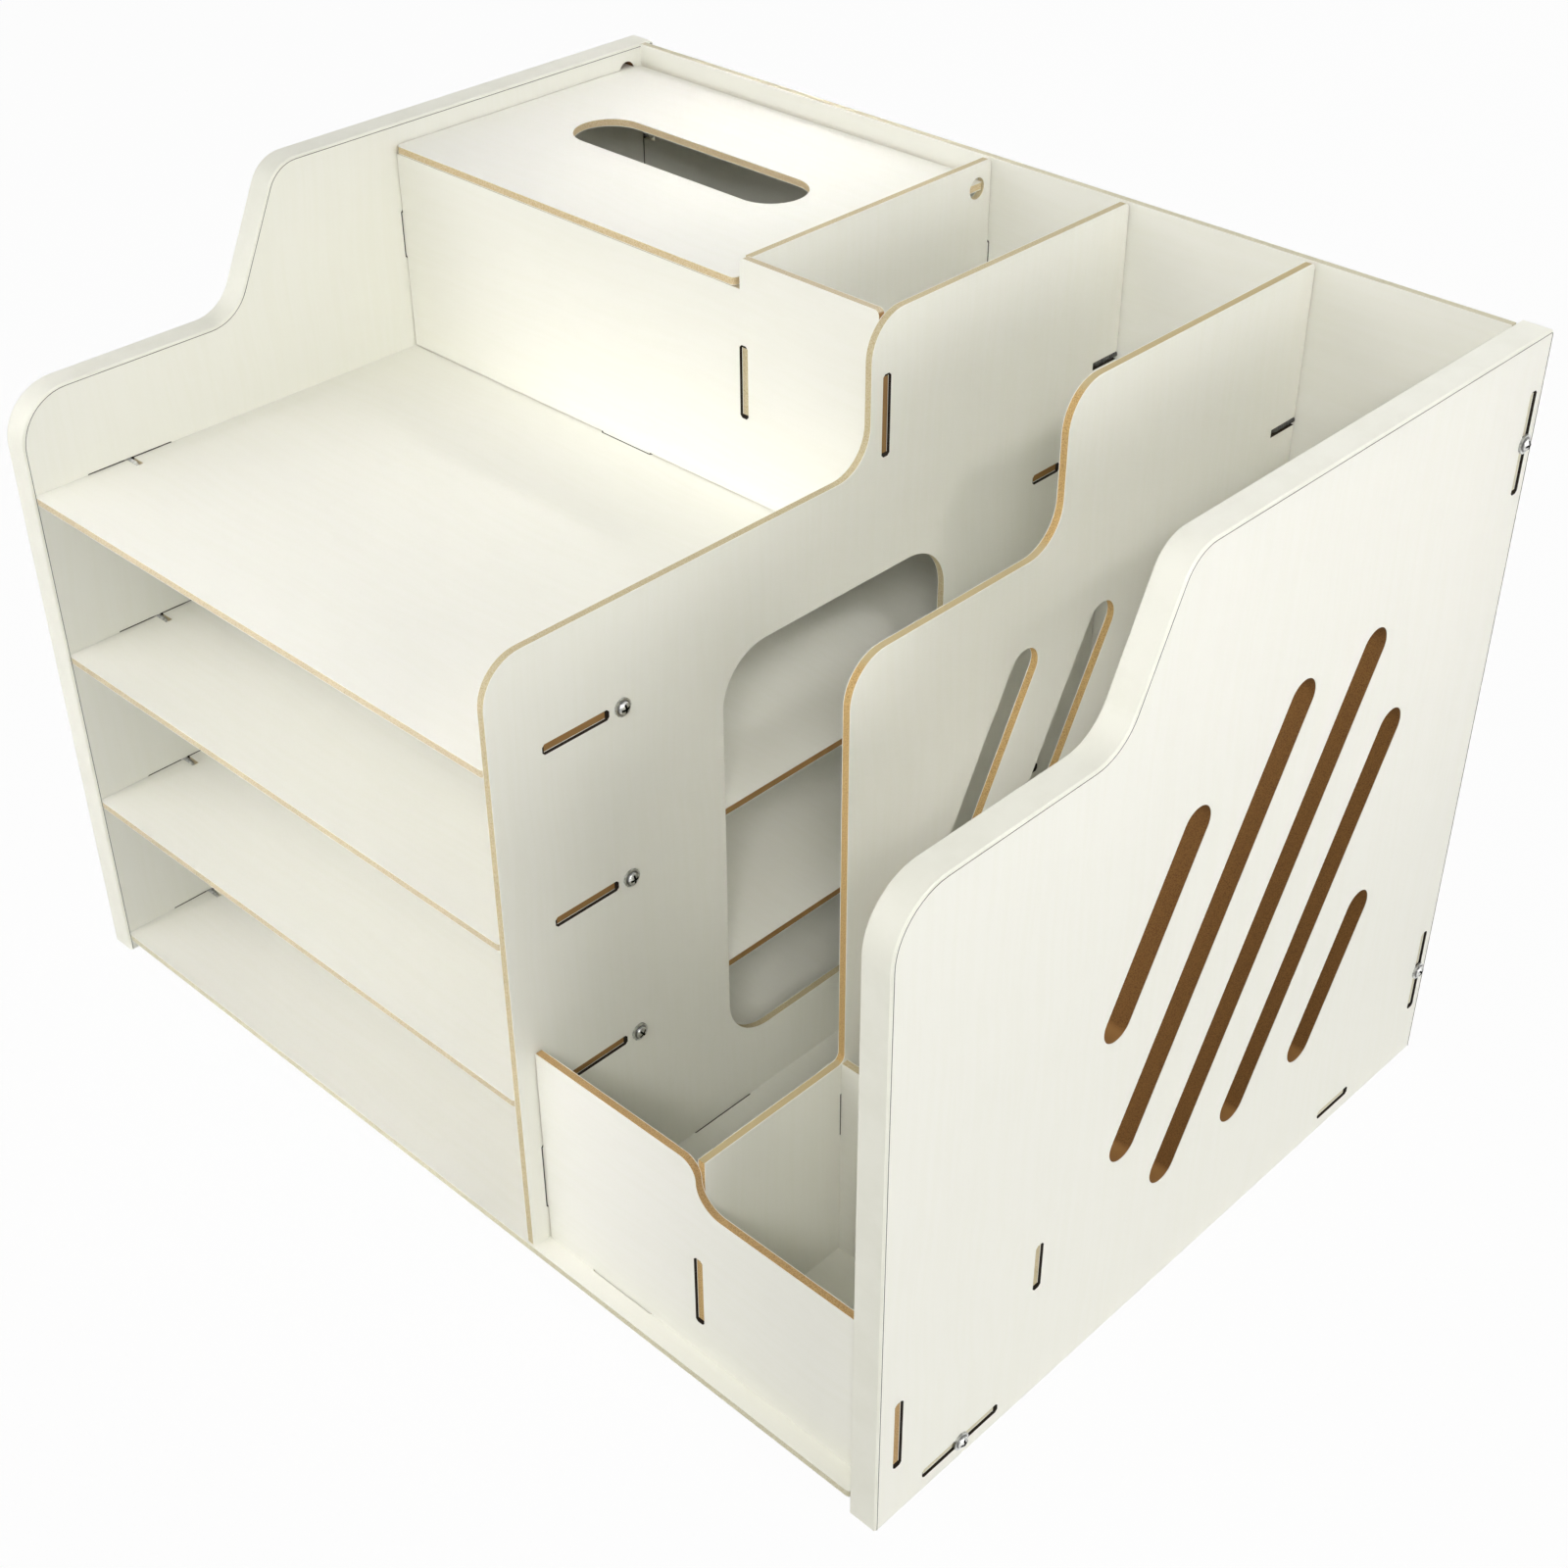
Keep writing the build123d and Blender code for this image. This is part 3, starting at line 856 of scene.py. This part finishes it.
def outline_of_face(mesh: bpy.types.Mesh, face: float, foot: float) -> list[Vector]:
    """Follow the outer outline of a flat panel face, leaving out its bottom edge.

    Args:
        mesh: Loose triangles of the panel.
        face: Place of the face along X.
        foot: Height of the bottom edge, which carries no band.

    Returns:
        The points of the outline from one foot to the other.
    """
    close = 0.01 * MM

    def spot(index: int) -> tuple[int, int]:
        """Name a corner by its place, so that loose triangles meet."""
        corner = mesh.vertices[index].co
        return round(corner.y / close), round(corner.z / close)

    count: dict[frozenset, int] = {}
    for polygon in mesh.polygons:
        corners = list(polygon.vertices)
        if all(abs(mesh.vertices[corner].co.x - face) < close for corner in corners):
            for start, end in zip(corners, corners[1:] + corners[:1]):
                side = frozenset((spot(start), spot(end)))
                count[side] = count.get(side, 0) + 1
    floor = round(foot / close)
    links: dict[tuple[int, int], list[tuple[int, int]]] = {}
    for side, times in count.items():
        if times == 1 and len(side) == 2 and any(corner[1] != floor for corner in side):
            start, end = side
            links.setdefault(start, []).append(end)
            links.setdefault(end, []).append(start)
    ends = sorted(corner for corner, others in links.items() if len(others) == 1)
    line, last = [ends[0]], None
    while line[-1] != ends[-1]:
        ahead = [corner for corner in links[line[-1]] if corner != last]
        last = line[-1]
        line.append(ahead[0])
    return [Vector((face, corner[0] * close, corner[1] * close)) for corner in line]


@dataclass
class Screws:
    """Zinc screws: a domed, flanged head with a cross recess over a threaded, pointed shank."""

    groups: Mapping[str, HeadSide] = field(
        default_factory=lambda: {
            "left_shelf_screws": HeadSide.LEFT,
            "left_back_screws": HeadSide.LEFT,
            "right_base_screw": HeadSide.RIGHT,
            "right_back_screws": HeadSide.RIGHT,
            "center_shelf_screws": HeadSide.RIGHT,
            "rear_divider_screws": HeadSide.REAR,
        }
    )
    head_height: float = 2.2 * MM
    rim_height: float = 0.7 * MM
    dome_share: float = 0.72
    core_share: float = 0.8
    tip_share: float = 0.16
    thread_pitch: float = 1.15 * MM
    recess_length: float = 3.3 * MM
    recess_width: float = 0.8 * MM
    recess_depth: float = 1.3 * MM
    apart: float = 12.0 * MM
    neck: float = 1.0 * MM
    root_share: float = 0.02
    sides: int = 36
    rings: int = 21
    shank_sides: int = 16
    shank_rings: int = 51
    thread_sides: int = 4
    thread_steps: int = 14
    # Strengths of painted shade on the rim, in the crease ring and in the rear notches.
    rim_shade: float = 0.3
    crease_shade: float = 0.7
    notch_shade: float = 0.8
    notch_end: float = 1.0 * MM
    notched_group: str = "rear_divider_screws"
    model: str = "right_base_screw"
    shade_name: str = "plate_shade"
    turn_name: str = "turn"
    seed: int = 7
    finish: BrightZinc = field(default_factory=BrightZinc)

    def find_notches(self, boards: list[Board]) -> list[Joint]:
        """Tell the upright boards where the rear screws stand in them, in notches that get painted
        shade.

        Args:
            boards: All boards.

        Returns:
            The rooms of the notches.
        """
        notches = []
        for low, high in self.split(self.notched_group, self.groups[self.notched_group]):
            for board in boards:
                start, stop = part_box(board.node)
                if board.thick is Axis.X and start.x < (low.x + high.x) / 2 < stop.x:
                    front = Vector((start.x, low.y - self.notch_end, low.z))
                    rear = Vector((stop.x, stop.y, high.z))
                    notches.append(Joint(front, rear, Axis.X))
                    board.joints.append(notches[-1])
        return notches

    def darken(self, screws: bpy.types.Object, notches: list[Joint]) -> None:
        """Paint shade on the plate inside the notches."""
        shades = screws.data.attributes[self.shade_name].data
        for polygon in screws.data.polygons:
            if any(notch.holds(polygon.center) for notch in notches):
                shades[polygon.index].value = self.notch_shade

    def drive(self, notches: list[Joint]) -> bpy.types.Object:
        """Put a detailed screw in place of every CAD screw.

        Args:
            notches: Rooms where shade is painted on the plate.

        Returns:
            All screws as one piece.
        """
        seats, head, shank, length = self.read_seats()
        graph = self.tree(head, shank, length)
        screws = graph.grow(seats, "zinc_screws")
        self.darken(screws, notches)
        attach(screws, "carcass")
        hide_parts(*self.groups)
        log.info("%s: %d screws, %d faces", screws.name, len(seats.vertices), len(screws.data.polygons))
        return screws

    def read_seats(self) -> tuple[bpy.types.Mesh, float, float, float]:
        """Find every screw in the CAD groups.

        Returns:
            A mesh with one point for each seat and its turn, then the head's diameter, the shank's
            diameter and the length under the head.
        """
        places: list[Vector] = []
        turns: list[Euler] = []
        dice = random.Random(self.seed)
        for node, side in self.groups.items():
            way = Vector(side.value)
            for low, high in self.split(node, side):
                middle, half = (low + high) / 2, (high - low) / 2
                along = sum(abs(part) * size for part, size in zip(way, half))
                places.append(middle + way * (along - self.head_height))
                spin = Quaternion((0.0, 0.0, 1.0), dice.uniform(0.0, math.pi / 2))
                turns.append((way.to_track_quat("Z", "Y") @ spin).to_euler("XYZ"))
        mesh = bpy.data.meshes.new("screw_seats")
        mesh.from_pydata(places, [], [])
        turn = mesh.attributes.new(self.turn_name, "FLOAT_VECTOR", "POINT")
        turn.data.foreach_set("vector", [part for euler in turns for part in euler])
        low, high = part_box(self.model)
        size = high - low
        return mesh, size.y, self.shank_of_model(), size.x - self.head_height

    def split(self, node: str, side: HeadSide) -> list[tuple[Vector, Vector]]:
        """Part a CAD group into its screws.

        Args:
            node: The group's name.
            side: The way that its heads face, along which the screws never stand in a row.

        Returns:
            Lowest and highest corner of each screw.
        """
        corners = [vertex.co.copy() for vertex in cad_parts[node].data.vertices]
        low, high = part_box(node)
        across = [axis.value for axis in Axis if side.value[axis.value] == 0.0]
        row = max(across, key=lambda axis: high[axis] - low[axis])
        corners.sort(key=lambda corner: corner[row])
        bundles = [[corners[0]]]
        for corner in corners[1:]:
            if corner[row] - bundles[-1][-1][row] > self.apart:
                bundles.append([])
            bundles[-1].append(corner)
        return [
            (Vector(map(min, zip(*bundle))), Vector(map(max, zip(*bundle)))) for bundle in bundles
        ]

    def shank_of_model(self) -> float:
        """Diameter of the model screw's shank, from its CAD corners between the tip and the head."""
        low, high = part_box(self.model)
        end = high.x - self.head_height - self.neck
        corners = [vertex.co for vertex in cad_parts[self.model].data.vertices]
        shank = [corner.y for corner in corners if low.x < corner.x < end]
        return max(shank) - min(shank)

    def tree(self, head: float, shank: float, length: float) -> GeometryGraph:
        """Build the node tree that makes one screw and sets it on every seat.

        Args:
            head: Diameter of the head.
            shank: Diameter over the thread.
            length: Length under the head.

        Returns:
            The finished tree.
        """
        graph = GeometryGraph(
            "screw_set",
            {
                "Head radius": head / 2,
                "Dome radius": head / 2 * self.dome_share,
                "Rim height": self.rim_height,
                "Dome height": self.head_height - self.rim_height,
                "Core radius": shank / 2 * self.core_share,
                "Thread height": shank / 2 * (1.0 - self.core_share),
                "Length": length,
                "Thread pitch": self.thread_pitch,
                "Recess length": self.recess_length,
                "Recess width": self.recess_width,
                "Recess depth": self.recess_depth,
            },
        )
        made = [self.head(graph), self.shank(graph), self.thread(graph)]
        screw = graph.node("GeometryNodeJoinGeometry", None, {0: made})
        turn = graph.node(
            "GeometryNodeInputNamedAttribute", {"data_type": "FLOAT_VECTOR"}, {"Name": self.turn_name}
        )
        placed = graph.node(
            "GeometryNodeInstanceOnPoints",
            None,
            {
                "Points": graph.start,
                "Instance": screw,
                "Rotation": graph.node("FunctionNodeEulerToRotation", None, {0: turn}),
            },
        )
        graph.close(placed, self.finish.coat(self.shade_name))
        return graph

    def head(self, graph: GeometryGraph) -> Sock:
        """Turn the domed, flanged head, cut the cross recess into it and mark where painted shade
        darkens it.

        Args:
            graph: Tree that the nodes go into.

        Returns:
            The head, standing on its seat.
        """
        dome_end, flange_end, rim_end = 0.4, 0.6, 0.8
        cut_share, crease_start, crease_end, rim_share = 0.51, 0.93, 0.3, 0.9
        reach, foot = graph.size("Head radius"), graph.size("Dome radius")
        rim, dome = graph.size("Rim height"), graph.size("Dome height")

        def radius(share: Sock) -> Sock:
            """Out over the dome and the flange, then back in under the head."""
            out = ((share - dome_end) / (flange_end - dome_end)).floored(0.0).capped(1.0)
            under = ((share - rim_end) / (1.0 - rim_end)).floored(0.0)
            crown = foot * (share.capped(dome_end) * (math.pi / 2 / dome_end)).sine()
            return (crown + (reach - foot) * out) * (1 - under)

        def height(share: Sock) -> Sock:
            """Down over the dome, level on the flange, then down its rim."""
            down = ((share - flange_end) / (rim_end - flange_end)).floored(0.0).capped(1.0)
            return rim * (1 - down) + dome * (share.capped(dome_end) * (math.pi / 2 / dome_end)).cosine()

        blank = graph.lathe(radius, height, self.sides, self.rings)
        long, wide, deep = (graph.size(f"Recess {size}") for size in ("length", "width", "depth"))
        lift = graph.node("ShaderNodeCombineXYZ", None, {"Z": rim + dome})
        arms = []
        for along, across in ((long, wide), (wide, long)):
            size = graph.node("ShaderNodeCombineXYZ", None, {"X": along, "Y": across, "Z": deep * 2.0})
            bar = graph.node("GeometryNodeMeshCube", None, {"Size": size})
            move = {"Geometry": bar, "Translation": lift}
            arms.append(graph.node("GeometryNodeTransform", None, move))
        cut = graph.node(
            "GeometryNodeMeshBoolean",
            {"operation": "DIFFERENCE", "solver": "EXACT"},
            {"Mesh 1": blank, "Mesh 2": arms},
        )
        place = graph.node("GeometryNodeInputPosition")
        spot = graph.parts(place)
        level = graph.scaled(place, (1.0, 1.0, 0.0))
        far = graph.node("ShaderNodeVectorMath", {"operation": "LENGTH"}, {0: level}, output="Value")
        aside, ahead = abs(spot), abs(spot.pick("Y"))
        inner, outer = wide * cut_share, long * cut_share
        # Painted shade: the cross recess, a crease ring at the dome's foot and the rim are darkened.
        recess = aside.below(outer) * ahead.below(inner) + aside.below(inner) * ahead.below(outer)
        beyond = 1 - far.below(foot * crease_start)
        crease = beyond * far.below(foot + (reach - foot) * crease_end) * self.crease_shade
        edge = spot.pick("Z").below(rim * rim_share) * self.rim_shade
        return graph.node(
            "GeometryNodeStoreNamedAttribute",
            {"data_type": "FLOAT", "domain": "FACE"},
            {"Geometry": cut, "Name": self.shade_name, "Value": (recess + crease + edge).capped(1.0)},
        )

    def shank(self, graph: GeometryGraph) -> Sock:
        """Turn the pointed core of the shank, starting a little inside the head."""
        core, length = graph.size("Core radius"), graph.size("Length")
        start = graph.size("Rim height") / 2

        def radius(share: Sock) -> Sock:
            """Closed at the root, straight, then tapering to the tip."""
            root = (share / self.root_share).capped(1.0)
            return core * root * ((1 - share) / self.tip_share).capped(1.0)

        def height(share: Sock) -> Sock:
            """From half-way up the rim down to the tip."""
            return start - share * (length + start)

        return graph.lathe(radius, height, self.shank_sides, self.shank_rings)

    def thread(self, graph: GeometryGraph) -> Sock:
        """Wind the thread's ridge round the shank, from under the head to the taper."""
        core, ridge = graph.size("Core radius"), graph.size("Thread height")
        run = graph.size("Length") * (1.0 - self.tip_share)
        helix = graph.node(
            "GeometryNodeCurveSpiral",
            None,
            {
                "Resolution": self.thread_steps,
                "Rotations": run / graph.size("Thread pitch"),
                "Start Radius": core,
                "End Radius": core,
                "Height": run,
            },
        )
        drop = graph.node("ShaderNodeCombineXYZ", None, {"Z": run * -1.0})
        lowered = graph.node("GeometryNodeTransform", None, {"Geometry": helix, "Translation": drop})
        return graph.swept(lowered, self.thread_sides, ridge)


@dataclass(frozen=True)
class Lamp:
    """One square softbox that faces the object, with or without a grid that narrows its beam."""

    name: str
    place: Point
    power: float
    width: float = 1.6
    spread_deg: float = 180.0
    target: Point = (0.0, 0.0, 0.12)

    def hang(self) -> None:
        """Make the lamp and turn it to its target."""
        light = bpy.data.lights.new(self.name, "AREA")
        light.shape, light.size, light.energy = "SQUARE", self.width, self.power
        light.spread = math.radians(self.spread_deg)
        holder = put(self.name, light)
        holder.location = self.place
        aim = Vector(self.target) - Vector(self.place)
        holder.rotation_euler = aim.to_track_quat("-Z", "Y").to_euler()


@dataclass
class Studio:
    """White floor, soft lamps and a world that looks white."""

    floor_half: float = 8.0
    floor_shade: Shade = (226, 226, 224)
    floor_glow: float = 0.96
    ambient: float = 0.08
    lamps: tuple[Lamp, ...] = (
        Lamp("left_softbox", (-1.4, -1.6, 1.25), 20.0),
        Lamp("right_softbox", (2.3, 0.0, 0.5), 27.0),
        Lamp("back_softbox", (0.0, 1.7, 1.7), 17.8),
        Lamp("front_softbox", (0.0, -1.7, 1.6), 5.6),
        Lamp("camera_grid", (1.05, -1.11, 1.24), 0.7, 0.4, spread_deg=40.0, target=(-0.02, 0.03, 0.15)),
        Lamp("bay_grid", (-0.35, -1.5, 1.25), 0.104, 0.3, spread_deg=10.0, target=(-0.09, -0.16, 0.1)),
        Lamp("divider_grid", (1.3, -0.5, 1.5), 0.05, 0.3, spread_deg=6.0, target=(0.09, 0.08, 0.28)),
        Lamp("lid_grid", (-0.3, 0.9, 1.6), 0.035, 0.15, spread_deg=7.0, target=(-0.105, 0.125, 0.29)),
        Lamp("shelf_grid", (-0.06, -1.7, 0.55), 0.036, 0.25, spread_deg=7.0, target=(-0.05, 0.02, 0.13)),
    )

    def build(self) -> None:
        """Make the world, the floor and the lamps, and fix the view transform."""
        bpy.context.scene.view_settings.view_transform = "Standard"
        self.make_world()
        self.make_floor()
        for lamp in self.lamps:
            lamp.hang()

    @staticmethod
    def looked_at(graph: Graph) -> Sock:
        """1 for rays from the camera and for mirror or glass rays, else 0."""
        path = graph.node("ShaderNodeLightPath", output="Is Camera Ray")
        return (path + path.pick("Is Glossy Ray") + path.pick("Is Transmission Ray")).capped(1.0)

    def make_world(self) -> None:
        """Light the scene evenly and show plain white behind it."""
        world = bpy.data.worlds.new("white_studio")
        world.use_nodes = True
        bpy.context.scene.world = world
        graph = Graph(world.node_tree)
        ambient = graph.node("ShaderNodeBackground", None, {"Color": WHITE, "Strength": self.ambient})
        white = graph.node("ShaderNodeBackground", None, {"Color": WHITE, "Strength": 1.0})
        sky = graph.node("ShaderNodeMixShader", None, {0: self.looked_at(graph), 1: ambient, 2: white})
        graph.node("ShaderNodeOutputWorld", None, {"Surface": sky})

    def make_floor(self) -> None:
        """Lay a pale floor that looks white and keeps a soft shadow."""
        half = self.floor_half
        corners = [(-half, -half, 0.0), (half, -half, 0.0), (half, half, 0.0), (-half, half, 0.0)]
        mesh = bpy.data.meshes.new("studio_floor")
        mesh.from_pydata(corners, [], [tuple(range(len(corners)))])
        floor = put("studio_floor", mesh)
        graph = MaterialGraph("pale_floor")
        paint = graph.node("ShaderNodeBsdfDiffuse", None, {"Color": linear(self.floor_shade)})
        glow = graph.node("ShaderNodeEmission", None, {"Color": WHITE, "Strength": 1.0})
        seen = self.looked_at(graph) * self.floor_glow
        wear(floor, graph.close(graph.node("ShaderNodeMixShader", None, {0: seen, 1: paint, 2: glow})))


@dataclass(frozen=True)
class PhotoCamera:
    """Camera at the photograph's angle: high, in front and to the right."""

    place: Point = (0.50277, -0.49839, 0.60900)
    aim: Point = (-0.56343, 0.58538, -0.58299)
    roll_deg: float = -0.241
    lens_mm: float = 53.349
    sensor_mm: float = 36.0

    def build(self) -> None:
        """Make the camera and choose it for the scene."""
        lens = bpy.data.cameras.new("photo_camera")
        lens.lens, lens.sensor_width = self.lens_mm, self.sensor_mm
        camera = put("photo_camera", lens)
        camera.location = self.place
        camera.rotation_mode = "QUATERNION"
        roll = Quaternion((0.0, 0.0, 1.0), math.radians(self.roll_deg))
        camera.rotation_quaternion = Vector(self.aim).to_track_quat("-Z", "Y") @ roll
        bpy.context.scene.camera = camera


def main() -> None:
    """Dress the boards, add the seams and screws, and set up the studio."""
    logging.basicConfig(level=logging.INFO, format="%(name)s: %(message)s")
    PhotoCamera().build()
    Studio().build()
    thin, sides, screws = ThinBoards(), SidePanels(), Screws()
    thin_boards, thick_boards = thin.boards(), sides.boards()
    find_joints(thin_boards + thick_boards)
    notches = screws.find_notches(thin_boards)
    thin.dress(thin_boards)
    sides.dress(thick_boards)
    sides.lay_seams()
    screws.drive(notches)


if __name__ == "__main__":
    main()
